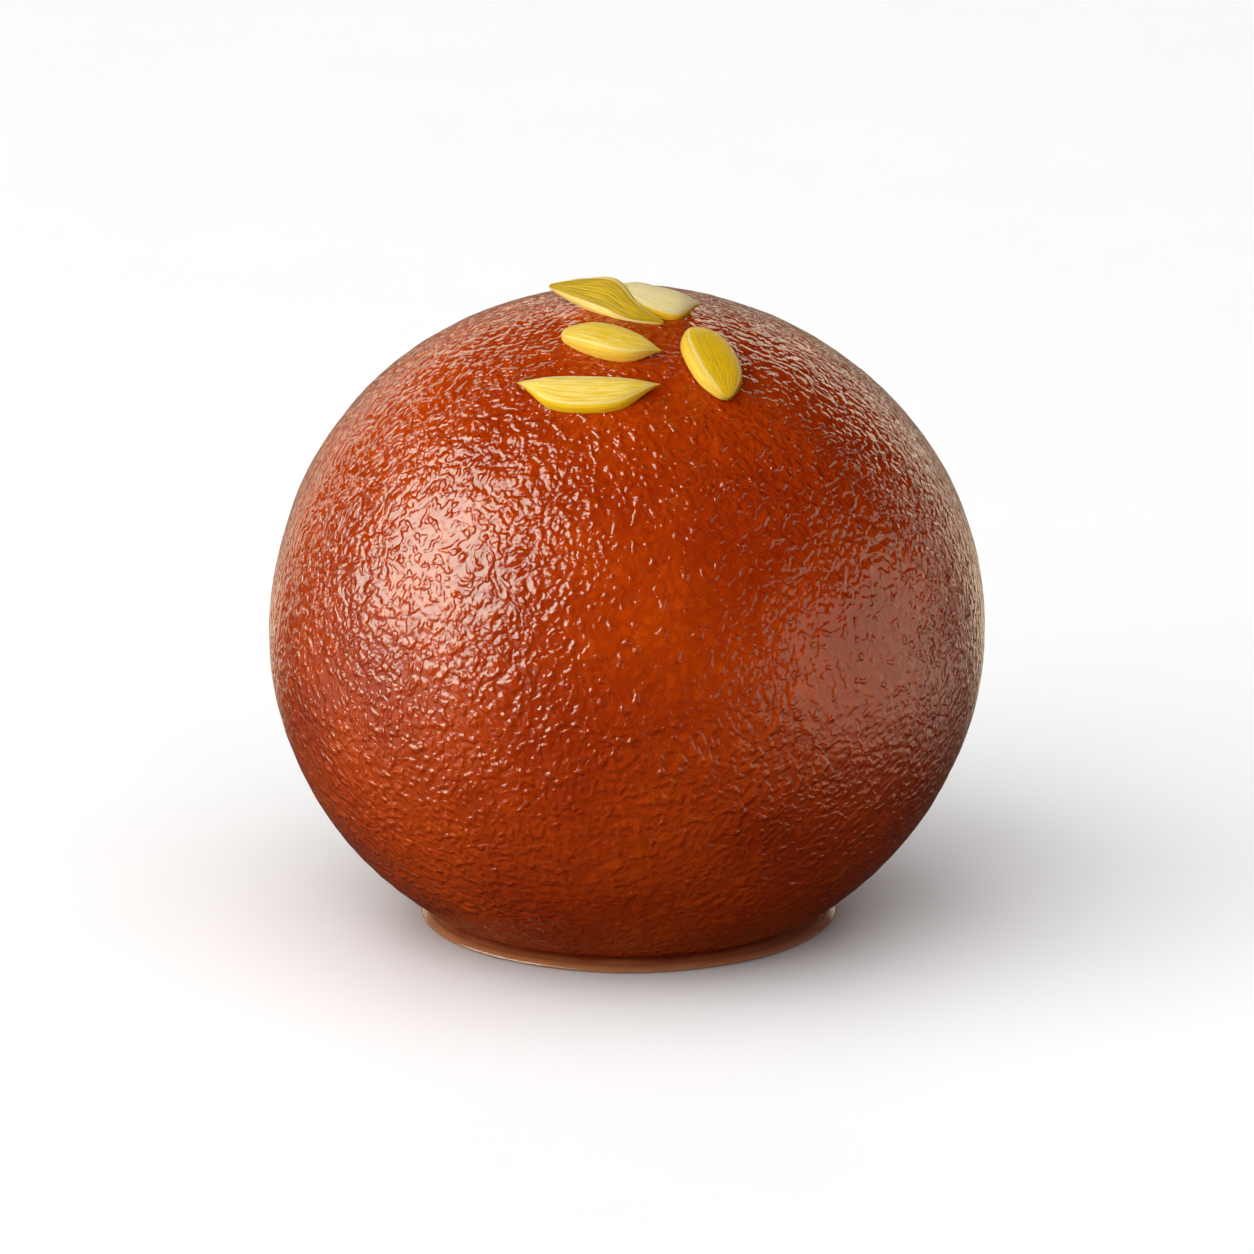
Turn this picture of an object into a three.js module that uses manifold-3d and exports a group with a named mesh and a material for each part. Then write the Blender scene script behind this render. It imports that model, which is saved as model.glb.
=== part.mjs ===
// Gulab jamun: a soft ball of fried milk dough, soaked in syrup, with five slivers of
// pistachio stuck to its crown. The slivers are fused to the ball, so the sweet is one solid.
// Units are millimetres, +Z is up, and the sweet's front is towards -Y. The origin is the
// middle of the flat spot that the ball rests on.

import * as THREE from "three";
import { mergeGeometries, mergeVertices } from "three/addons/utils/BufferGeometryUtils.js";
import Module from "manifold-3d";

const wasm = await Module();
wasm.setup();

// --- The ball: driving dimensions ---------------------------------------------------------

const BALL_WIDTH = 48; // left to right, at the widest level
const BALL_DEPTH = 47.4; // front to back, a little less than round
const BALL_HEIGHT = 45.8; // before its underside settled flat
const REST_RADIUS = 12; // of the flat spot that the soft dough has settled onto
const REST_ROUNDING = 2.5; // how far the skin curves over, on either side of that spot's edge
const FACES_AROUND = 84; // around the ball
const CROWN_RINGS = 36; // from the crown down to where the skin curves over
const ROUNDING_RINGS = 5; // in that curve

const DOUGH_COLOUR = 0x9a3410; // fried to a red brown and glazed with syrup

// Gentle lumps and hollows that hand rolling leaves: which way each lies from the ball's middle,
// how far it spreads in degrees, and how high it stands. They end a little above the flat spot.
const LUMPS = [
  { towards: [-0.6, 0.1, 0.8], spread: 22, rise: 0.22 }, // fuller left shoulder
  { towards: [0.4, 0, 0.9], spread: 24, rise: -0.2 }, // flatter right of the crown
  { towards: [-0.97, 0, 0.27], spread: 12, rise: -0.1 }, // hollow under the left shoulder
  { towards: [-0.7, -0.6, -0.3], spread: 26, rise: 0.12 }, // fuller lower left
  { towards: [0.6, -0.6, -0.5], spread: 30, rise: -0.15 }, // flatter lower right
  { towards: [0.2, -1, 0.1], spread: 35, rise: 0.2 }, // fuller front
  { towards: [-0.3, 1, 0.2], spread: 40, rise: -0.2 }, // flatter back
];
const LUMPS_END = 8; // height above the flat spot over which they fade out

const semiAxes = new THREE.Vector3(BALL_WIDTH, BALL_DEPTH, BALL_HEIGHT).divideScalar(2);
const restAngle = Math.PI - Math.asin(REST_RADIUS / semiAxes.x); // from the crown
const restHeight = semiAxes.z * Math.cos(restAngle); // from the ball's middle, so below zero

// --- The pistachio slivers: driving dimensions --------------------------------------------
//
// right, front           where its middle lies, from the crown's middle
// lift                   height of its middle above the skin there
// turn                   its heading, in degrees anticlockwise from left to right
// lean                   how far its back edge is raised, in degrees
// dip                    how far its right-hand end is lowered, in degrees
// thickness, length      at its thickest, and from end to end
// blunt                  8 rounds its ends off early, and 20 leaves them sharp
// backEdge, frontEdge    offsets of its two edges at each quarter of its length

const SLIVERS = [
  {
    right: -2.65, front: 12, lift: 0.15, turn: -7, lean: 6, dip: 0,
    thickness: 1.3, length: 9.8, blunt: 20,
    backEdge: [0.96, 1.24, 1.3, 1.24, 1],
    frontEdge: [0.96, -1.04, -1.5, -1, 1],
  },
  {
    right: -1, front: 7.5, lift: 0.25, turn: -19, lean: 4, dip: 0,
    thickness: 1.4, length: 7.1, blunt: 12,
    backEdge: [0.7, 1.4, 1.42, 0.95, 0.15],
    frontEdge: [-0.5, -1.1, -1.5, -1.25, 0.15],
  },
  {
    right: 5.65, front: 8.6, lift: 0.25, turn: -68, lean: -6, dip: 0,
    thickness: 1.4, length: 7.25, blunt: 8,
    backEdge: [1.3, 1.84, 1.88, 1.4, 0.3],
    frontEdge: [-0.95, -1.64, -1.84, -1.74, -1.2],
  },
  {
    right: -1.15, front: 1.95, lift: 0.65, turn: -30, lean: 38, dip: 6,
    thickness: 1.1, length: 9, blunt: 16,
    backEdge: [0, 0.92, 1.46, 0.2, -0.45],
    frontEdge: [-0.5, -1, -1.34, -1.42, -0.85],
  },
  {
    right: 1.8, front: 2, lift: 0.4, turn: 1, lean: 22, dip: 10,
    thickness: 1.2, length: 6.4, blunt: 20,
    backEdge: [0.6, 1.36, 1.4, 1.34, 1.06],
    frontEdge: [0.5, -0.75, -1.4, -1.3, 1.06],
  },
];

const DOME_SHARE = 0.6; // of a sliver's thickness above its edge, the rest being below it
const SQUARENESS = 0.75; // of a sliver's cross section: 1 is an oval, and 0 a box
const THINNING = 0.7; // how much thinner a sliver gets as it narrows: 1 is as much, and 0 none
const SLIVER_ROUND = 16; // faces around a sliver
const SLIVER_ALONG = 20; // faces from end to end

const PISTACHIO_COLOUR = 0xd8bb2c; // yellow green

// --- Shared helpers -----------------------------------------------------------------------

const degrees = THREE.MathUtils.degToRad; // an angle written in degrees, as the library takes it
const SEAM = 1e-5; // vertices closer than this are one

/** Moves every vertex of a geometry to reshape(vertex), and joins the vertices that meet. */
function reshaped(geometry, reshape) {
  const bare = geometry.index ? geometry.toNonIndexed() : geometry.clone();
  bare.deleteAttribute("normal");
  bare.deleteAttribute("uv");
  const merged = mergeVertices(bare);
  const position = merged.getAttribute("position");
  const vertex = new THREE.Vector3();
  for (let i = 0; i < position.count; i++) {
    vertex.fromBufferAttribute(position, i);
    position.setXYZ(i, ...reshape(vertex).toArray());
  }
  return merged;
}

/** A closed geometry as a solid that can be joined and cut. */
function solidOf(geometry) {
  const closed = mergeVertices(geometry);
  const mesh = new wasm.Mesh({
    numProp: 3,
    vertProperties: new Float32Array(closed.getAttribute("position").array),
    triVerts: new Uint32Array(closed.index.array),
  });
  return new wasm.Manifold(mesh).asOriginal();
}

/** A solid's faces as one geometry with a colour for each first shape, crisp where two meet. */
function paintedGeometry(solid, colourOf) {
  const mesh = solid.getMesh();
  const regions = new Map();
  mesh.runOriginalID.forEach((id, run) => {
    const colour = colourOf(id);
    const faces = regions.get(colour) ?? [];
    faces.push(...mesh.triVerts.subarray(mesh.runIndex[run], mesh.runIndex[run + 1]));
    regions.set(colour, faces);
  });
  const pieces = [...regions].map(([colour, faces]) => {
    const corners = faces.flatMap((v) => [...mesh.position(v)]);
    const tint = new THREE.Color(colour);
    const bare = new THREE.BufferGeometry().setAttribute(
      "position",
      new THREE.Float32BufferAttribute(corners, 3),
    );
    const piece = mergeVertices(bare, SEAM);
    const tints = Array.from({ length: piece.getAttribute("position").count }, () => tint.toArray());
    piece.setAttribute("color", new THREE.Float32BufferAttribute(tints.flat(), 3));
    piece.computeVertexNormals();
    return piece;
  });
  return mergeGeometries(pieces);
}

// --- The ball -----------------------------------------------------------------------------

/** Half of the ball's cross section, from its crown to the middle of its flat spot. */
function halfSection() {
  const onOval = (angle) =>
    new THREE.Vector2(semiAxes.x * Math.sin(angle), semiAxes.z * Math.cos(angle));
  const curveStart = restAngle - REST_ROUNDING / semiAxes.x;
  const side = Array.from({ length: CROWN_RINGS }, (_, ring) =>
    onOval((curveStart * ring) / CROWN_RINGS),
  );
  const rounding = new THREE.QuadraticBezierCurve(
    onOval(curveStart),
    onOval(restAngle),
    new THREE.Vector2(REST_RADIUS - REST_ROUNDING, restHeight),
  );
  return [...side, ...rounding.getPoints(ROUNDING_RINGS), new THREE.Vector2(0, restHeight)];
}

/** A point of the plain ball's skin, moved in or out by the lumps and hollows. */
function lumpy(point) {
  const direction = point.clone().divide(semiAxes).normalize();
  const rise = LUMPS.reduce((sum, lump) => {
    const away = direction.angleTo(new THREE.Vector3(...lump.towards));
    return sum + lump.rise * Math.exp(-((away / degrees(lump.spread)) ** 2));
  }, 0);
  const ease = THREE.MathUtils.smoothstep(point.z, restHeight, restHeight + LUMPS_END);
  return point.clone().multiplyScalar(1 + (rise / semiAxes.x) * ease);
}

/** The ball with its flat spot, centred on its middle: a sphere's rings moved to the section. */
function ballSolid() {
  const section = halfSection();
  const rings = section.length - 1;
  const round = new THREE.SphereGeometry(1, FACES_AROUND, rings).rotateX(Math.PI / 2);
  const ball = reshaped(round, ({ x, y, z }) => {
    const { x: reach, y: height } = section[Math.round((Math.acos(z) / Math.PI) * rings)];
    const around = Math.hypot(x, y) || 1;
    const right = (reach * x) / around;
    const back = ((reach * y) / around) * (BALL_DEPTH / BALL_WIDTH);
    return lumpy(new THREE.Vector3(right, back, height));
  });
  return solidOf(ball);
}

// --- The pistachio slivers ----------------------------------------------------------------

/** A sliver lying flat: its length along X, its back edge towards +Y, its dome towards +Z. */
function sliverGeometry({ length, thickness, backEdge, frontEdge, blunt }) {
  const [back, front] = [backEdge, frontEdge].map(
    (edge) => new THREE.SplineCurve(edge.map((offset, step) => new THREE.Vector2(step, offset))),
  );
  const widest = Math.max(...backEdge.map((offset, step) => offset - frontEdge[step])) / 2;
  const squared = (share) => Math.sign(share) * Math.abs(share) ** SQUARENESS;
  const round = new THREE.SphereGeometry(1, SLIVER_ROUND, SLIVER_ALONG).rotateZ(-Math.PI / 2);
  return reshaped(round, ({ x, y, z }) => {
    const ring = Math.hypot(y, z) || 1;
    const backwards = back.getPoint((1 + x) / 2).y;
    const forwards = front.getPoint((1 + x) / 2).y;
    const cap = Math.sqrt(Math.max(0, 1 - Math.abs(x) ** blunt));
    const half = ((backwards - forwards) / 2) * cap;
    const side = (backwards + forwards) / 2 + half * squared(y / ring);
    const share = z > 0 ? DOME_SHARE : 1 - DOME_SHARE;
    const height = thickness * share * (half / widest) ** THINNING * squared(z / ring);
    return new THREE.Vector3((x * length) / 2, side, height);
  });
}

/** Where a sliver lies: its own axes turned onto the crown, and its middle lifted off the skin. */
function sliverPlace({ right, front, lift, turn, lean, dip }) {
  const direction = new THREE.Vector3(right, -front, 0).divide(semiAxes);
  direction.z = Math.sqrt(1 - direction.lengthSq());
  const skin = lumpy(direction.clone().multiply(semiAxes));
  const out = direction.clone().divide(semiAxes).normalize();
  const along = new THREE.Vector3(1, 0, 0).projectOnPlane(out).normalize();
  const back = new THREE.Vector3().crossVectors(out, along);
  return new THREE.Matrix4()
    .makeBasis(along, back, out)
    .multiply(new THREE.Matrix4().makeRotationZ(degrees(turn)))
    .multiply(new THREE.Matrix4().makeRotationY(degrees(dip)))
    .multiply(new THREE.Matrix4().makeRotationX(degrees(lean)))
    .setPosition(skin.addScaledVector(out, lift));
}

// --- The whole sweet ----------------------------------------------------------------------

const ball = ballSolid();
const slivers = SLIVERS.map((sliver) =>
  solidOf(sliverGeometry(sliver).applyMatrix4(sliverPlace(sliver))),
);
const sliverIds = new Set(slivers.map((solid) => solid.originalID()));
const sweet = slivers.reduce((whole, sliver) => whole.add(sliver), ball);

const geometry = paintedGeometry(sweet, (id) =>
  sliverIds.has(id) ? PISTACHIO_COLOUR : DOUGH_COLOUR,
);
const gulabJamun = new THREE.Mesh(
  geometry,
  new THREE.MeshStandardMaterial({ vertexColors: true, roughness: 0.3, metalness: 0 }),
);
gulabJamun.name = "gulab_jamun";

// The flat spot goes to height zero, and the widest level is centred over the origin.
const box = new THREE.Box3().setFromBufferAttribute(geometry.getAttribute("position"));
const middle = box.getCenter(new THREE.Vector3());
gulabJamun.position.set(-middle.x, -middle.y, -restHeight);

const group = new THREE.Group();
group.name = "gulab_jamun_with_pistachio";
group.add(gulabJamun);

export default group;
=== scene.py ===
import math

import bmesh
import bpy
from mathutils import Matrix, Vector, noise


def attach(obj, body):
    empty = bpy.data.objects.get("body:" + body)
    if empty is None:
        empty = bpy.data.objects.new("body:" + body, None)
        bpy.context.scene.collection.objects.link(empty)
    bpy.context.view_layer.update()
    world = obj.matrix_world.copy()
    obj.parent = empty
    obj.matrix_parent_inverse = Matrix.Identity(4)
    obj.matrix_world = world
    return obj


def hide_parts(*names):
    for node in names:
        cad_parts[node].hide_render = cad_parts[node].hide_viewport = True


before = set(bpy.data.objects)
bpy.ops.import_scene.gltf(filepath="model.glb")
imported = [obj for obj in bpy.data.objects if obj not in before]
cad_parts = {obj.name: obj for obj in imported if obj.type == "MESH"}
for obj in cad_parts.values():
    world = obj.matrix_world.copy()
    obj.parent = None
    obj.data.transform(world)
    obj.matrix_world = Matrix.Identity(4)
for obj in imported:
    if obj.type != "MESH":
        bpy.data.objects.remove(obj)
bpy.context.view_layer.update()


# --- The ball of dough ------------------------------------------------------------------
# A ball of milk dough, rolled between the palms, fried to a red brown and soaked in hot
# syrup until it swelled. Its skin crinkled as it cooled, and the soft ball sat down on a
# small flat spot under its own weight.

MM = 0.001  # lengths are written in millimetres
BALL_WIDTH = 48 * MM  # left to right, at the widest level
BALL_DEPTH = 47.4 * MM
BALL_HEIGHT = 45.8 * MM  # before its underside settled flat
REST_RADIUS = 12 * MM  # of the flat spot
REST_ROUNDING = 2.5 * MM  # how far the skin curves over, on either side of that spot's edge
SKIN_GRID = 128  # cuts across each side of the cube that the ball is drawn from

# Lumps and hollows of hand rolling: which way each lies from the middle, how many degrees
# it spreads, and how far it stands out, in millimetres.
LUMPS = [
    ((-0.6, 0.1, 0.8), 22, 0.22),  # fuller left shoulder
    ((0.4, 0, 0.9), 24, -0.2),  # flatter right of the crown
    ((-0.97, 0, 0.27), 12, -0.1),  # hollow under the left shoulder
    ((-0.7, -0.6, -0.3), 26, 0.12),  # fuller lower left
    ((0.6, -0.6, -0.5), 30, -0.15),  # flatter lower right
    ((0.2, -1, 0.1), 35, 0.2),  # fuller front
    ((-0.3, 1, 0.2), 40, -0.2),  # flatter back
]
LUMPS_END = 8 * MM  # height above the flat spot over which they fade out

half_axes = Vector((BALL_WIDTH, BALL_DEPTH, BALL_HEIGHT)) / 2
rest_angle = math.pi - math.asin(REST_RADIUS / half_axes.x)  # from the crown
rest_height = half_axes.z * math.cos(rest_angle)  # from the ball's middle, so below zero
rounding_start = rest_angle - REST_ROUNDING / half_axes.x
rounding_end = rest_angle + REST_ROUNDING / half_axes.x


def smoothstep(value, low, high):
    """0 below low, 1 above high, and an S curve between them."""
    share = min(max((value - low) / (high - low), 0), 1)
    return share * share * (3 - 2 * share)


def half_section(angle):
    """Point of the ball's half cross section, out and up from its middle, by angle from the crown."""
    on_oval = [
        Vector((half_axes.x * math.sin(turn), half_axes.z * math.cos(turn)))
        for turn in (min(angle, rounding_start), rest_angle)
    ]
    if angle <= rounding_start:
        return on_oval[0]
    flat_edge = Vector((REST_RADIUS - REST_ROUNDING, rest_height))
    if angle >= rounding_end:
        return Vector((flat_edge.x * (math.pi - angle) / (math.pi - rounding_end), rest_height))
    share = (angle - rounding_start) / (rounding_end - rounding_start)
    return on_oval[0].lerp(on_oval[1], share).lerp(on_oval[1].lerp(flat_edge, share), share)


def lumpy(point):
    """A point of the plain ball's skin, moved in or out by the lumps and hollows."""
    direction = Vector([along / half for along, half in zip(point, half_axes)])
    rise = sum(
        height * MM * math.exp(-((direction.angle(Vector(towards)) / math.radians(spread)) ** 2))
        for towards, spread, height in LUMPS
    )
    fade = smoothstep(point.z, rest_height, rest_height + LUMPS_END)
    return point * (1 + rise / half_axes.x * fade)


def on_ball(corner):
    """A corner of the gridded cube, moved onto the ball so that its squares keep nearly one size."""
    direction = Vector([math.tan(along * math.pi / 4) for along in corner]).normalized()
    reach, height = half_section(direction.angle(Vector((0, 0, 1))))
    outward = Vector((direction.x, direction.y * BALL_DEPTH / BALL_WIDTH, 0))
    outward /= direction.xy.length or 1
    return lumpy(outward * reach + Vector((0, 0, height)))


# The larger crinkles: swells that the fingers left, then pebbles and creases that wander
# over them.
SWELL_SIZE = 5 * MM
SWELL_HEIGHT = 0.05 * MM
SWIRL_SIZE = 6 * MM
SWIRL_REACH = 0.9 * MM
SWIRL_SEED = 5  # so that the creases wander in the same way every time
CREASE_SIZE = 2.1 * MM
CREASE_DEPTH = 0.02 * MM
CREASE_WIDTH = 0.28  # of the noise's height, on either side of a crease
PEBBLE_SIZE = 1.1 * MM
PEBBLE_HEIGHT = 0.025 * MM
CRINKLES_END = 2 * MM  # height above the flat spot over which they fade out

noise.seed_set(SWIRL_SEED)


def crinkle(point):
    """How far the skin stands out at a point of the ball."""
    swirled = point + noise.noise_vector(point / SWIRL_SIZE) * SWIRL_REACH
    crease = 1 - smoothstep(abs(noise.noise(swirled / CREASE_SIZE)), 0, CREASE_WIDTH)
    height = noise.noise(point / SWELL_SIZE) * SWELL_HEIGHT
    height += noise.noise(swirled / PEBBLE_SIZE) * PEBBLE_HEIGHT
    return height - crease * CREASE_DEPTH


def as_object(name, bm):
    """A bmesh as an object in the scene, with smooth faces."""
    mesh = bpy.data.meshes.new(name)
    for face in bm.faces:
        face.smooth = True
    bm.to_mesh(mesh)
    bm.free()
    made = bpy.data.objects.new(name, mesh)
    bpy.context.scene.collection.objects.link(made)
    return made


ball = bmesh.new()
bmesh.ops.create_cube(ball, size=2)
bmesh.ops.subdivide_edges(ball, edges=ball.edges[:], cuts=SKIN_GRID, use_grid_fill=True)
for vert in ball.verts:
    vert.co = on_ball(vert.co)
ball.normal_update()
middle = Vector([(min(along) + max(along)) / 2 for along in zip(*[vert.co for vert in ball.verts])])
to_table = Matrix.Translation((-middle.x, -middle.y, -rest_height))
skin_normals = [vert.normal.copy() for vert in ball.verts]
for vert, outward in zip(ball.verts, skin_normals):
    fade = smoothstep(vert.co.z, rest_height, rest_height + CRINKLES_END)
    vert.co += outward * crinkle(vert.co) * fade
bmesh.ops.transform(ball, matrix=to_table, verts=ball.verts[:])
dough_ball = as_object("dough_ball", ball)


def add_node(tree, kind, inputs=None, **settings):
    """A shader node with its settings, and with a value or a link for each input named."""
    node = tree.nodes.new("ShaderNode" + kind)
    for setting, value in settings.items():
        setattr(node, setting, value)
    for socket, value in (inputs or {}).items():
        if isinstance(value, bpy.types.NodeSocket):
            tree.links.new(value, node.inputs[socket])
        else:
            node.inputs[socket].default_value = value
    return node


def maths(tree, operation, *values):
    """The output of a maths node on up to three values or links."""
    return add_node(tree, "Math", dict(enumerate(values)), operation=operation).outputs[0]


def opaque(colour):
    """A colour as a socket takes it, or a link as it is."""
    return colour if isinstance(colour, bpy.types.NodeSocket) else (*colour, 1)


def blended(tree, share, first, second):
    """The output of a colour mix: first where the share is 0, second where it is 1."""
    colours = {0: share, 6: opaque(first), 7: opaque(second)}
    return add_node(tree, "Mix", colours, data_type="RGBA", clamp_factor=True).outputs[2]


def ramp(tree, value, low, high, to_low=0, to_high=1):
    """A value's S curve from to_low at low to to_high at high."""
    limits = {"Value": value, "From Min": low, "From Max": high, "To Min": to_low, "To Max": to_high}
    return add_node(tree, "MapRange", limits, interpolation_type="SMOOTHSTEP").outputs[0]


def new_group(name, inputs, outputs):
    """An empty shader node group, what comes into it, and what it has to be fed to put out."""
    tree = bpy.data.node_groups.new(name, "ShaderNodeTree")
    for in_out, sockets in (("INPUT", inputs), ("OUTPUT", outputs)):
        for socket, kind in sockets.items():
            tree.interface.new_socket(socket, in_out=in_out, socket_type="NodeSocket" + kind)
    given = tree.nodes.new("NodeGroupInput")
    made = tree.nodes.new("NodeGroupOutput")
    return tree, given.outputs, made.inputs


def place_group(tree, group, inputs):
    """The outputs of a node group placed in a material's tree."""
    return add_node(tree, "Group", inputs, node_tree=group).outputs


def new_material(name, constants):
    """A material, its node tree, and its shader with the values that are the same all over."""
    material = bpy.data.materials.new(name)
    material.use_nodes = True
    shader = material.node_tree.nodes["Principled BSDF"]
    for socket, value in constants.items():
        shader.inputs[socket].default_value = value
    return material, material.node_tree, shader


NOISE_MIDDLE = 0.5  # the value that a noise wavers about
NOISE_SPAN = (0.3, 0.7)  # where most of its values lie

# Creases: fine lines that wander like the whorls of a fingertip. Plateau is 0 in a crease
# and 1 on the skin between creases.
creases, given, made = new_group(
    "wandering_creases",
    {"Vector": "Vector", "Scale": "Float", "Width": "Float"},
    {"Plateau": "Float"},
)
field = add_node(creases, "TexNoise", {"Vector": given["Vector"], "Scale": given["Scale"], "Detail": 1.0})
off_line = maths(creases, "ABSOLUTE", maths(creases, "SUBTRACT", field.outputs[0], NOISE_MIDDLE))
creases.links.new(ramp(creases, off_line, 0.0, given["Width"]), made["Plateau"])

# Specks, here and there: small blunt knobs of skin, beads of syrup, and dots of painted shade. Knob is 1
# on top of one and 0 on the skin between them, and rises evenly as the noise that places them goes from
# Foot to Top.
specks, given, made = new_group(
    "syrup_specks",
    {"Vector": "Vector", "Scale": "Float", "Foot": "Float", "Top": "Float"},
    {"Knob": "Float"},
)
field = add_node(specks, "TexNoise", {"Vector": given["Vector"], "Scale": given["Scale"], "Detail": 0.0})
rise = {"Value": field.outputs[0], "From Min": given["Foot"], "From Max": given["Top"]}
specks.links.new(add_node(specks, "MapRange", rise).outputs[0], made["Knob"])

DOUGH_DARK = (0.42, 0.033, 0.0004)  # fried darkest
DOUGH_LIGHT = (0.58, 0.06, 0.0006)  # where syrup shows through
# Painted shade: the bottoms of the creases, and the pit dots below, are coloured a deeper brown for the
# shade that falls in them.
PAINTED_CREASE_SHADE = (0.26, 0.012, 0.0004)
BROWNING = {"Scale": 110.0, "Detail": 3.0}
CREASE_SHADE_SHARE = 0.35  # how far the painted shade at the bottom of a crease goes to that brown
PIT_SHADE_SHARE = 0.25
GLAZE_ROUGHNESS = (0.06, 0.13)

# The finer crinkles, about 0.3 to 1.2 mm across. They are bump in the material only, and not
# in the mesh. Each Scale is noise cells to a metre, and each height is in millimetres.
FINE_SWIRL = {"Scale": 300.0, "Detail": 1.0}
FINE_SWIRL_REACH = 1.2 * MM
FINE_CREASES = {"Scale": 850.0, "Width": 0.25}
FINE_CREASE_HEIGHT = 0.08
KNOBS = {"Scale": 2050.0, "Foot": 0.47, "Top": 0.72}
KNOB_HEIGHT = 0.09
GRAIN = {"Scale": 3000.0, "Detail": 1.0, "Roughness": 0.4}
GRAIN_HEIGHT = 0.055
BEADS = {"Scale": 1500.0, "Foot": 0.63, "Top": 0.75}
BEAD_HEIGHT = 0.075
SHADED_PIT_DOTS = {"Scale": 1600.0, "Foot": 0.58, "Top": 0.8}  # painted shade of pits: brown dots, without a height

# Where syrup lies thick and stills the wrinkles: the place on the skin, the radii within which
# they are calmest and beyond which they are not calmed, all in millimetres, and the share of
# their height that is left.
CALM_SPOTS = [
    ((-12.5, -17.2, 30.9), 2, 8, 0.7),  # left of the front, high up
    ((3.6, -22.7, 26.9), 4, 11, 0.5),  # middle of the front
    ((15.1, -17.7, 24), 3.5, 9, 0.38),  # right of the front
    ((-1, -20.5, 8), 4, 10, 0.6),  # low in front
    ((-8, 20, 25), 4, 10, 0.5),  # back
    ((17, 14, 28), 3, 9, 0.5),  # right of the back
]

glazed_dough, tree, shader = new_material("glazed_dough", {
    "IOR": 1.5,
    "Subsurface Weight": 0.35,
    "Subsurface Radius": (1.0, 0.25, 0.08),
    "Subsurface Scale": 2 * MM,
})
place = add_node(tree, "TexCoord").outputs["Object"]
swirl = add_node(tree, "TexNoise", {"Vector": place, **FINE_SWIRL}).outputs[1]
centred = add_node(
    tree, "VectorMath", {0: swirl, 1: (NOISE_MIDDLE,) * 3}, operation="SUBTRACT"
).outputs[0]
swirled = add_node(
    tree, "VectorMath", {0: centred, 1: (FINE_SWIRL_REACH,) * 3, 2: place}, operation="MULTIPLY_ADD"
).outputs[0]
fine = place_group(tree, creases, {"Vector": swirled, **FINE_CREASES})["Plateau"]
knobs = place_group(tree, specks, {"Vector": swirled, **KNOBS})["Knob"]
beads = place_group(tree, specks, {"Vector": place, **BEADS})["Knob"]
# Dots of painted shade, as if in small pits; they have no height.
shaded_pits = place_group(tree, specks, {"Vector": swirled, **SHADED_PIT_DOTS})["Knob"]
grain = add_node(tree, "TexNoise", {"Vector": swirled, **GRAIN}).outputs[0]
height = maths(tree, "MULTIPLY", fine, FINE_CREASE_HEIGHT)
height = maths(tree, "MULTIPLY_ADD", knobs, KNOB_HEIGHT, height)
height = maths(tree, "MULTIPLY_ADD", grain, GRAIN_HEIGHT, height)
wrinkling = 1.0
for spot, calm_within, calm_beyond, left in CALM_SPOTS:
    spot_middle = [along * MM for along in spot]
    apart = add_node(tree, "VectorMath", {0: place, 1: spot_middle}, operation="DISTANCE").outputs[1]
    stilled = ramp(tree, apart, calm_within * MM, calm_beyond * MM, left, 1.0)
    wrinkling = maths(tree, "MINIMUM", stilled, wrinkling)
height = maths(tree, "MULTIPLY", height, wrinkling)
height = maths(tree, "MULTIPLY_ADD", beads, BEAD_HEIGHT, height)
bump = add_node(tree, "Bump", {"Height": height, "Strength": 1.0, "Distance": MM})
tree.links.new(bump.outputs[0], shader.inputs["Normal"])

browning = add_node(tree, "TexNoise", {"Vector": place, **BROWNING}).outputs[0]
colour = blended(tree, ramp(tree, browning, *NOISE_SPAN), DOUGH_DARK, DOUGH_LIGHT)
# Painted shade: browns the bottoms of the creases and the pit dots.
shaded_crease = maths(tree, "MULTIPLY", maths(tree, "SUBTRACT", 1.0, fine), CREASE_SHADE_SHARE)
painted_dip_shade = maths(tree, "MAXIMUM", shaded_crease, maths(tree, "MULTIPLY", shaded_pits, PIT_SHADE_SHARE))
colour = blended(tree, painted_dip_shade, colour, PAINTED_CREASE_SHADE)
tree.links.new(colour, shader.inputs["Base Color"])
tree.links.new(ramp(tree, grain, *NOISE_SPAN, *GLAZE_ROUGHNESS), shader.inputs["Roughness"])
dough_ball.data.materials.append(glazed_dough)

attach(dough_ball, "root")
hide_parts("gulab_jamun")


# --- The slivers of pistachio -----------------------------------------------------------
# Five slivers cut lengthwise from peeled pistachio nuts and dropped on the crown, where the
# syrup holds them. Each has a pale cut face, a yellow green rim, and a blunt or pointed end.

DOME_SHARE = 0.6  # of a sliver's thickness above its edge, the rest being below it
SQUARENESS = 0.62  # of a sliver's cross section: 1 is an oval, and 0 a box
THINNING = 0.7  # how much thinner a sliver gets as it narrows: 1 is as much, and 0 none
EDGE_STEPS = 4  # stretches between the places where an edge's offset is given
SLIVER_AROUND = 64
SLIVER_ALONG = 96


def edge_at(offsets, share):
    """Offset of a sliver's edge at a share of its length, on a smooth curve through its offsets."""
    step = min(int(share * EDGE_STEPS), EDGE_STEPS - 1)
    before, start, end, after = [offsets[min(max(step + k, 0), EDGE_STEPS)] for k in (-1, 0, 1, 2)]
    part = share * EDGE_STEPS - step
    slopes = (end - before) / 2, (after - start) / 2
    curve = (2 * start - 2 * end + slopes[0] + slopes[1]) * part**3
    curve += (3 * end - 3 * start - 2 * slopes[0] - slopes[1]) * part**2
    return curve + slopes[0] * part + start


def squared(share):
    """An oval's coordinate pushed out towards a box's."""
    return math.copysign(abs(share) ** SQUARENESS, share)


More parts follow.
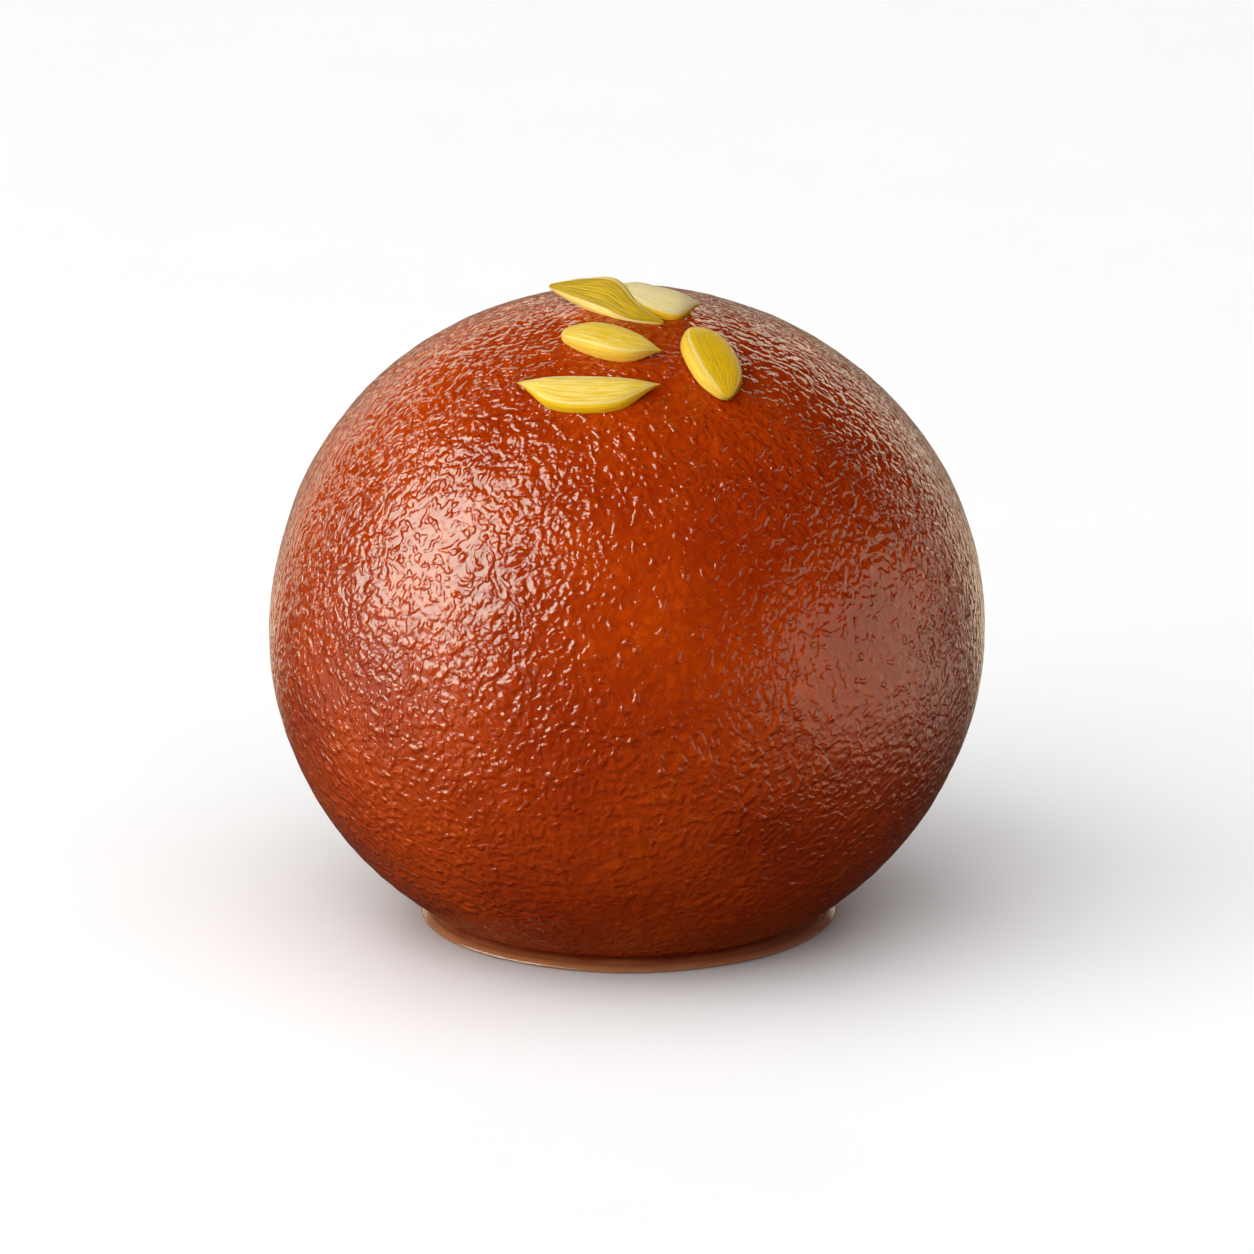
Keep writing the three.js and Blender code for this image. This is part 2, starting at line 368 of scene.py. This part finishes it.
def sliver_place(right, front, lift, turn, lean, dip):
    """Where a sliver lies: its axes turned onto the skin, and its middle lifted off it."""
    direction = Vector((right * MM / half_axes.x, -front * MM / half_axes.y, 0))
    direction.z = math.sqrt(1 - direction.length_squared)
    skin = lumpy(direction * half_axes)
    out = Vector([along / half for along, half in zip(direction, half_axes)]).normalized()
    along = (Vector((1, 0, 0)) - out * out.x).normalized()
    axes = Matrix((along, out.cross(along), out)).transposed().to_4x4()
    turned = Matrix.Rotation(math.radians(turn), 4, "Z")
    turned @= Matrix.Rotation(math.radians(dip), 4, "Y")
    turned @= Matrix.Rotation(math.radians(lean), 4, "X")
    return to_table @ Matrix.Translation(skin + out * lift * MM) @ axes @ turned


def make_sliver(name, length, thickness, blunt, back_edge, front_edge, **lies):
    """A sliver, its length along X before it is placed, with its own coordinates kept for its looks."""
    sliver = bmesh.new()
    bmesh.ops.create_uvsphere(sliver, u_segments=SLIVER_AROUND, v_segments=SLIVER_ALONG, radius=1)
    bmesh.ops.rotate(sliver, matrix=Matrix.Rotation(math.pi / 2, 3, "Y"), verts=sliver.verts[:])
    own_place = sliver.verts.layers.float_vector.new("own_place")
    widest = max(back - front for back, front in zip(back_edge, front_edge)) / 2
    for vert in sliver.verts:
        x, y, z = vert.co
        ring = math.hypot(y, z) or 1
        back = edge_at(back_edge, (1 + x) / 2)
        front = edge_at(front_edge, (1 + x) / 2)
        half = (back - front) / 2 * math.sqrt(max(0, 1 - abs(x) ** blunt))
        side = (back + front) / 2 + half * squared(y / ring)
        share = DOME_SHARE if z > 0 else 1 - DOME_SHARE
        height = thickness * share * (half / widest) ** THINNING * squared(z / ring)
        vert.co = Vector((x * length / 2, side, height)) * MM
        vert[own_place] = Vector((x, y / ring, z / ring))
    bmesh.ops.transform(sliver, matrix=sliver_place(**lies), verts=sliver.verts[:])
    return as_object(name, sliver)


# Flesh of the nut: streaks along the sliver, paler or deeper towards its edges. Low is the
# edge on the sliver's own front side, where the nut's outside curves away, and High the other.
# Both edges carry a pale line of painted glow, for light shining through the thin flesh there. Places
# across the sliver go from -1 at its front side to 1 at its back.
STREAK_STRETCH = (1.2, 9, 5)  # streaks along, across and through the sliver
STREAKS = {"Scale": 2.0, "Detail": 4.0}
STREAK_SPAN = (0.45, 0.62)  # the noise's values from no streak to its middle
STREAK_SHARE = 0.95
EDGE_WAVER = 0.3  # how far the streaks shift the edges' colours
LOW_SIDE = (-0.35, -0.7)
HIGH_SIDE = (0.75, 1.0)
# Painted glow: a pale line along both edges, where light shines through the thin flesh.
EDGE_GLOW_INNER = (0.56, 0.64)
EDGE_GLOW_OUTER = (0.7, 0.8)
EDGE_GLOW_SHARE = 0.55
EDGE_GLOW_PAINT = (1.0, 0.8, 0.4)

flesh, given, made = new_group(
    "pistachio_flesh",
    {"Face": "Color", "Low": "Color", "High": "Color", "Streak": "Color"},
    {"Color": "Color", "Height": "Float"},
)
own = add_node(flesh, "Attribute", attribute_name="own_place").outputs["Vector"]
parts = add_node(flesh, "SeparateXYZ", {0: own}).outputs
stretched = add_node(flesh, "Mapping", {"Vector": own, "Scale": STREAK_STRETCH}).outputs[0]
streaks = add_node(flesh, "TexNoise", {"Vector": stretched, **STREAKS}).outputs[0]
streaked = maths(flesh, "MULTIPLY", ramp(flesh, streaks, *STREAK_SPAN), STREAK_SHARE)
colour = blended(flesh, streaked, given["Face"], given["Streak"])
across = maths(flesh, "MULTIPLY_ADD", streaks, EDGE_WAVER, parts[1])
colour = blended(flesh, ramp(flesh, across, *LOW_SIDE), colour, given["Low"])
colour = blended(flesh, ramp(flesh, across, *HIGH_SIDE), colour, given["High"])
off_middle = maths(flesh, "ABSOLUTE", parts[1])
# Painted glow along both edges.
edge_glow_fade = ramp(flesh, off_middle, *EDGE_GLOW_OUTER, EDGE_GLOW_SHARE, 0.0)
painted_edge_glow = maths(flesh, "MULTIPLY", ramp(flesh, off_middle, *EDGE_GLOW_INNER), edge_glow_fade)
flesh.links.new(blended(flesh, painted_edge_glow, colour, EDGE_GLOW_PAINT), made["Color"])
flesh.links.new(streaks, made["Height"])

STREAK_HEIGHT = 0.08 * MM


def pistachio_finish(name, face, low, high, streak):
    """A sliver's own flesh, wet with syrup."""
    material, tree, shader = new_material(name, {
        "Roughness": 0.28,
        "IOR": 1.45,
        "Specular IOR Level": 0.15,
        "Subsurface Weight": 0.3,
        "Subsurface Radius": (1.0, 0.7, 0.2),
        "Subsurface Scale": 0.5 * MM,
    })
    colours = {"Face": face, "Low": low, "High": high, "Streak": streak}
    nut = place_group(tree, flesh, {socket: opaque(colour) for socket, colour in colours.items()})
    tree.links.new(nut["Color"], shader.inputs["Base Color"])
    bump = add_node(tree, "Bump", {"Height": nut["Height"], "Distance": STREAK_HEIGHT})
    tree.links.new(bump.outputs[0], shader.inputs["Normal"])
    return material


PALE = (0.97, 0.68, 0.18)
CREAM = (0.98, 0.76, 0.36)
PITH = (1.0, 0.8, 0.43)
BUTTER = (0.9, 0.54, 0.06)
YELLOW = (0.86, 0.53, 0.025)
GOLDEN = (1.0, 0.59, 0.012)
MUSTARD = (1.0, 0.58, 0.007)
OLIVE = (0.61, 0.345, 0.001)
DEEP_OLIVE = (0.4, 0.25, 0.002)

# For each: its length, thickness and bluntness, its back and front edges from left to right,
# in millimetres, and how it lies, in millimetres and degrees.
front_sliver = make_sliver(
    "pistachio_front",
    9.8, 1.3, 20, (0.96, 1.24, 1.3, 1.24, 1), (0.96, -1.04, -1.5, -1, 1),
    right=-2.65, front=12, lift=0.15, turn=-7, lean=6, dip=0,
)
front_sliver.data.materials.append(pistachio_finish("flesh_front", PALE, GOLDEN, CREAM, YELLOW))

middle_sliver = make_sliver(
    "pistachio_middle",
    7.1, 1.4, 12, (0.7, 1.4, 1.42, 0.95, 0.15), (-0.5, -1.1, -1.5, -1.25, 0.15),
    right=-1, front=7.5, lift=0.25, turn=-19, lean=4, dip=0,
)
middle_sliver.data.materials.append(pistachio_finish("flesh_middle", YELLOW, BUTTER, OLIVE, PALE))

right_sliver = make_sliver(
    "pistachio_right",
    7.25, 1.4, 8, (1.3, 1.84, 1.88, 1.4, 0.3), (-0.95, -1.64, -1.84, -1.74, -1.2),
    right=5.65, front=8.6, lift=0.25, turn=-68, lean=-6, dip=0,
)
right_sliver.data.materials.append(pistachio_finish("flesh_right", MUSTARD, BUTTER, OLIVE, YELLOW))

crown_sliver = make_sliver(
    "pistachio_crown",
    9, 1.1, 16, (0, 0.92, 1.46, 0.2, -0.45), (-0.5, -1, -1.34, -1.42, -0.85),
    right=-1.15, front=1.95, lift=0.65, turn=-30, lean=38, dip=6,
)
crown_sliver.data.materials.append(pistachio_finish("flesh_crown", OLIVE, PALE, YELLOW, DEEP_OLIVE))

back_sliver = make_sliver(
    "pistachio_back",
    6.4, 1.2, 20, (0.6, 1.36, 1.4, 1.34, 1.06), (0.5, -0.75, -1.4, -1.3, 1.06),
    right=1.8, front=2, lift=0.4, turn=1, lean=22, dip=10,
)
back_sliver.data.materials.append(pistachio_finish("flesh_back", PITH, GOLDEN, CREAM, CREAM))

slivers = (front_sliver, middle_sliver, right_sliver, crown_sliver, back_sliver)
for sliver in slivers:
    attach(sliver, "root")
    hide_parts("gulab_jamun")


# --- The film of syrup ------------------------------------------------------------------
# Syrup that drained down the skin and stayed as a thin clear amber ring round the foot. It
# wets the skin in a hollow curve and ends on the table in a round bead.

FILM_STEPS = 192  # round the foot
FILM_PROFILE = [  # out from the middle line and up from the table, in millimetres
    (10.5, 0.02),
    (13.9, 0.02),
    (14.0, 0.07),
    (13.98, 0.16),
    (13.87, 0.26),
    (13.7, 0.34),
    (13.5, 0.38),
    (13.3, 0.38),
    (13.1, 0.37),
    (12.85, 0.42),
    (12.55, 0.6),
    (11.8, 0.6),
]
FILM_WAVER = 0.35 * MM  # how far its outer edge wanders
WAVER_FROM = 12.6 * MM  # out from the middle line
WAVER_FULL = 14 * MM
WAVER_TURNS = 1.6  # how often it wanders
WAVER_SLICE = 3.0  # which waver it is, of all that the noise holds

film = bmesh.new()
rim = [film.verts.new((out * MM, 0, up * MM)) for out, up in FILM_PROFILE]
edges = [film.edges.new((rim[k], rim[(k + 1) % len(rim)])) for k in range(len(rim))]
bmesh.ops.spin(
    film, geom=rim + edges, cent=(0, 0, 0), axis=(0, 0, 1), angle=2 * math.pi,
    steps=FILM_STEPS, use_merge=True,
)
for vert in film.verts:
    outward = vert.co.xy.normalized()
    waver = noise.noise(Vector((*outward, WAVER_SLICE)) * WAVER_TURNS) * FILM_WAVER
    vert.co.xy += outward * waver * smoothstep(vert.co.xy.length, WAVER_FROM, WAVER_FULL)
bmesh.ops.recalc_face_normals(film, faces=film.faces[:])
syrup_film = as_object("syrup_film", film)

SYRUP_THICK_AND_SHADED = (0.22, 0.038, 0.01)  # where it stands thick against the skin, with the ball's shade and reflection at its foot painted in
SYRUP_THIN = (0.64, 0.22, 0.095)
PALING = (12.9 * MM, 14 * MM)  # out from the middle line
CLEARING = (13.1 * MM, 14.5 * MM)
SYRUP_ALPHA = (0.95, 0.45)  # thick, and clearing towards the outer edge
RUNS = {"Scale": 260.0, "Detail": 2.0}
RUNS_REACH = 0.8 * MM  # how far runs in the syrup shift those places

clear_syrup, tree, shader = new_material(
    "clear_syrup", {"Roughness": 0.05, "IOR": 1.45, "Specular IOR Level": 0.9}
)
place = add_node(tree, "TexCoord").outputs["Object"]
parts = add_node(tree, "SeparateXYZ", {0: place}).outputs
level = add_node(tree, "CombineXYZ", {0: parts[0], 1: parts[1]}).outputs[0]
reach = add_node(tree, "VectorMath", {0: level}, operation="LENGTH").outputs[1]
runny = add_node(tree, "TexNoise", {"Vector": place, **RUNS}).outputs[0]
reach = maths(tree, "MULTIPLY_ADD", runny, RUNS_REACH, reach)
# Darker near the skin: thicker syrup, and painted shade and reflection of the ball's foot.
colour = blended(tree, ramp(tree, reach, *PALING), SYRUP_THICK_AND_SHADED, SYRUP_THIN)
tree.links.new(colour, shader.inputs["Base Color"])
tree.links.new(ramp(tree, reach, *CLEARING, *SYRUP_ALPHA), shader.inputs["Alpha"])
syrup_film.data.materials.append(clear_syrup)

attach(syrup_film, "root")


# --- The table --------------------------------------------------------------------------
# A plain white table top, large enough to fill the view, with the faintest mottling. The
# glaze is shown a dark one instead, with a glow on each side of the sweet and behind it, to
# put the glints where the photo has them.

TABLE_SIZE = 6  # metres
TABLE_GRID = 8
TABLE_DROP = 0.02 * MM  # below the flat spot, so that the two surfaces don't share a plane

table = bmesh.new()
bmesh.ops.create_grid(table, x_segments=TABLE_GRID, y_segments=TABLE_GRID, size=TABLE_SIZE / 2)
bmesh.ops.translate(table, vec=(0, 0, -TABLE_DROP), verts=table.verts[:])
table_top = as_object("table_top", table)

CAMERA_ELEVATION = math.radians(17.2)  # above the level of the table
RING_OUTER = (0.7, 0.82)  # cosines of angles from straight behind the ball
RING_INNER = (0.88, 0.96)
RING_MIDDLE = 0.1  # how much light is left inside the ring


def rim_light(tree, direction):
    """How much of the light that edges the glaze comes from a direction: a ring beyond the ball."""
    onward = (0.0, math.cos(CAMERA_ELEVATION), -math.sin(CAMERA_ELEVATION))
    unit = add_node(tree, "VectorMath", {0: direction}, operation="NORMALIZE").outputs[0]
    along = add_node(tree, "VectorMath", {0: unit, 1: onward}, operation="DOT_PRODUCT").outputs[1]
    inner = ramp(tree, along, *RING_INNER, 1.0, RING_MIDDLE)
    return maths(tree, "MULTIPLY", ramp(tree, along, *RING_OUTER), inner)


TABLE_WHITES = (0.872, 0.866, 0.863), (0.88, 0.874, 0.871)
MOTTLING = {"Scale": 60.0, "Detail": 2.0}
TABLE_IN_GLAZE = (0.04, 0.035, 0.025)
TABLE_ON_SKIN = (0.14, 0.135, 0.13)  # how much of its light reaches the underside of the sweet
TABLE_GLOW = (1.6, 1.32, 0.95)
# Where that glow starts, is full, fades and ends: radians round the sweet, to the right of
# its front.
RIGHT_STARTS, RIGHT_ENDS = (0.5, 1.0), (1.85, 2.25)
LEFT_STARTS, LEFT_ENDS = (-0.5, -1.0), (-1.6, -2.1)
LEFT_SHARE = 0.5
BEHIND_SHARE = 0.65
GLOW_STARTS = (0.03, 0.08)  # metres from the middle of the sweet

white_table, tree, shader = new_material(
    "white_table", {"Emission Strength": 1.0, "Roughness": 0.55, "Specular IOR Level": 0.1}
)
place = add_node(tree, "TexCoord").outputs["Object"]
mottling = add_node(tree, "TexNoise", {"Vector": place, **MOTTLING}).outputs[0]
white = blended(tree, ramp(tree, mottling, *NOISE_SPAN), *TABLE_WHITES)
parts = add_node(tree, "SeparateXYZ", {0: place}).outputs
reach = add_node(tree, "VectorMath", {0: place}, operation="LENGTH").outputs[1]
around = maths(tree, "ARCTAN2", parts[0], maths(tree, "MULTIPLY", parts[1], -1.0))
right_end = ramp(tree, around, *RIGHT_ENDS, 1.0, 0.0)
on_right = maths(tree, "MULTIPLY", ramp(tree, around, *RIGHT_STARTS), right_end)
left_end = ramp(tree, around, *LEFT_ENDS, LEFT_SHARE, 0.0)
on_left = maths(tree, "MULTIPLY", ramp(tree, around, *LEFT_STARTS), left_end)
ball_middle = (0.0, 0.0, -rest_height)
from_ball = add_node(tree, "VectorMath", {0: place, 1: ball_middle}, operation="SUBTRACT").outputs[0]
behind = maths(tree, "MULTIPLY", rim_light(tree, from_ball), BEHIND_SHARE)
lit = maths(tree, "ADD", maths(tree, "ADD", on_right, on_left), behind)
lit = maths(tree, "MULTIPLY", lit, ramp(tree, reach, *GLOW_STARTS))
rays = add_node(tree, "LightPath").outputs
white = blended(tree, rays["Is Glossy Ray"], white, TABLE_IN_GLAZE)
white = blended(tree, rays["Is Diffuse Ray"], white, TABLE_ON_SKIN)
tree.links.new(white, shader.inputs["Base Color"])
glow = blended(tree, maths(tree, "MULTIPLY", lit, rays["Is Glossy Ray"]), (0, 0, 0), TABLE_GLOW)
tree.links.new(glow, shader.inputs["Emission Color"])
table_top.data.materials.append(white_table)


# --- The studio -------------------------------------------------------------------------
# A large soft box on the left, brightest in its middle, a dimmer panel on the right, a ring
# of light beyond the sweet and a dark room behind the camera: these show in the glaze. The
# lights that colour the skin and whiten the table don't.


def soft_light(name, azimuth, elevation, width, height, radiance, tint, in_glaze=False, distance=1.5):
    """A panel that faces the sweet from an azimuth, in degrees to the right of the camera."""
    turn, rise = math.radians(azimuth), math.radians(elevation)
    lamp = bpy.data.lights.new(name, "AREA")
    lamp.shape = "RECTANGLE"
    lamp.size = width
    lamp.size_y = height
    lamp.energy = radiance * math.pi * width * height
    lamp.color = tint
    light = bpy.data.objects.new(name, lamp)
    towards = Vector((math.sin(turn) * math.cos(rise), -math.cos(turn) * math.cos(rise), math.sin(rise)))
    light.location = towards * distance + Vector((0, 0, BALL_HEIGHT / 2))
    light.rotation_euler = towards.to_track_quat("Z", "Y").to_euler()
    light.visible_camera = False
    light.visible_diffuse = not in_glaze
    light.visible_glossy = in_glaze
    bpy.context.scene.collection.objects.link(light)
    return light


def light_only(name, pieces, lights):
    """Keeps these lights to these pieces."""
    lit = bpy.data.collections.new(name)
    for piece in pieces:
        lit.objects.link(piece)
    for light in lights:
        light.light_linking.receiver_collection = lit


PALE_GREEN = (0.76, 1.0, 0.87)  # so that its glints come out white on the red dough
PANEL_CREAM = (1.0, 0.86, 0.64)
KEY_GREEN = (1.0, 1.1, 0.95)
FILL_PINK = (1.0, 0.86, 0.95)
TABLE_TINT = (0.985, 0.995, 1.0)  # so that the table stays white beside the red sweet

soft_light("left_soft_box", -75, 28, 1.6, 1.6, 7.5, PALE_GREEN, in_glaze=True)
soft_light("left_soft_box_middle", -75, 28, 0.95, 0.95, 3.5, PALE_GREEN, in_glaze=True, distance=1.47)
soft_light("right_panel", 88, 0, 2.5, 0.9, 1.7, PANEL_CREAM, in_glaze=True)
left_key = soft_light("left_key", -55, 18, 2.6, 2.6, 2.85, KEY_GREEN)
right_fill = soft_light("right_fill", 54, 42, 2.4, 2.4, 0.6, FILL_PINK)
table_key = soft_light("table_key", -55, 30, 2.6, 2.6, 1.15, TABLE_TINT)
table_light = soft_light("table_light", -20, 75, 3.2, 3.2, 1.55, TABLE_TINT)
light_only("sweet_only", (dough_ball, *slivers, syrup_film), (left_key, right_fill))
light_only("table_only", (table_top,), (table_key, table_light))

# Beyond the table all is white to the camera. The glaze shows the ring and the dark room.
WALL_WHITE = (0.95, 0.95, 0.95)
WALL_IN_GLAZE = (1, 0.89, 0.66)
RING_LIGHT = 1.95
ROOM_LIGHT = 0.01

world = bpy.data.worlds.new("studio")
world.use_nodes = True
bpy.context.scene.world = world
tree = world.node_tree
background = tree.nodes["Background"]
direction = add_node(tree, "TexCoord").outputs["Generated"]
brightness = maths(tree, "MULTIPLY_ADD", rim_light(tree, direction), RING_LIGHT, ROOM_LIGHT)
rays = add_node(tree, "LightPath").outputs
wall = blended(tree, rays["Is Glossy Ray"], WALL_WHITE, WALL_IN_GLAZE)
tree.links.new(maths(tree, "MAXIMUM", brightness, rays["Is Camera Ray"]), background.inputs["Strength"])
tree.links.new(wall, background.inputs["Color"])

CAMERA_DISTANCE = 1.2
SENSOR_WIDTH = 36  # millimetres, as is the lens
VIEW_WIDTH = 84 * MM  # of the picture, at the sweet

camera_data = bpy.data.cameras.new("camera")
camera_data.sensor_width = SENSOR_WIDTH
camera_data.lens = SENSOR_WIDTH * CAMERA_DISTANCE / VIEW_WIDTH
camera = bpy.data.objects.new("camera", camera_data)
towards = Vector((0, -math.cos(CAMERA_ELEVATION), math.sin(CAMERA_ELEVATION)))
camera.location = towards * CAMERA_DISTANCE + Vector((0, 0, -rest_height))
camera.rotation_euler = towards.to_track_quat("Z", "Y").to_euler()
bpy.context.scene.collection.objects.link(camera)
bpy.context.scene.camera = camera
bpy.context.scene.view_settings.view_transform = "Standard"
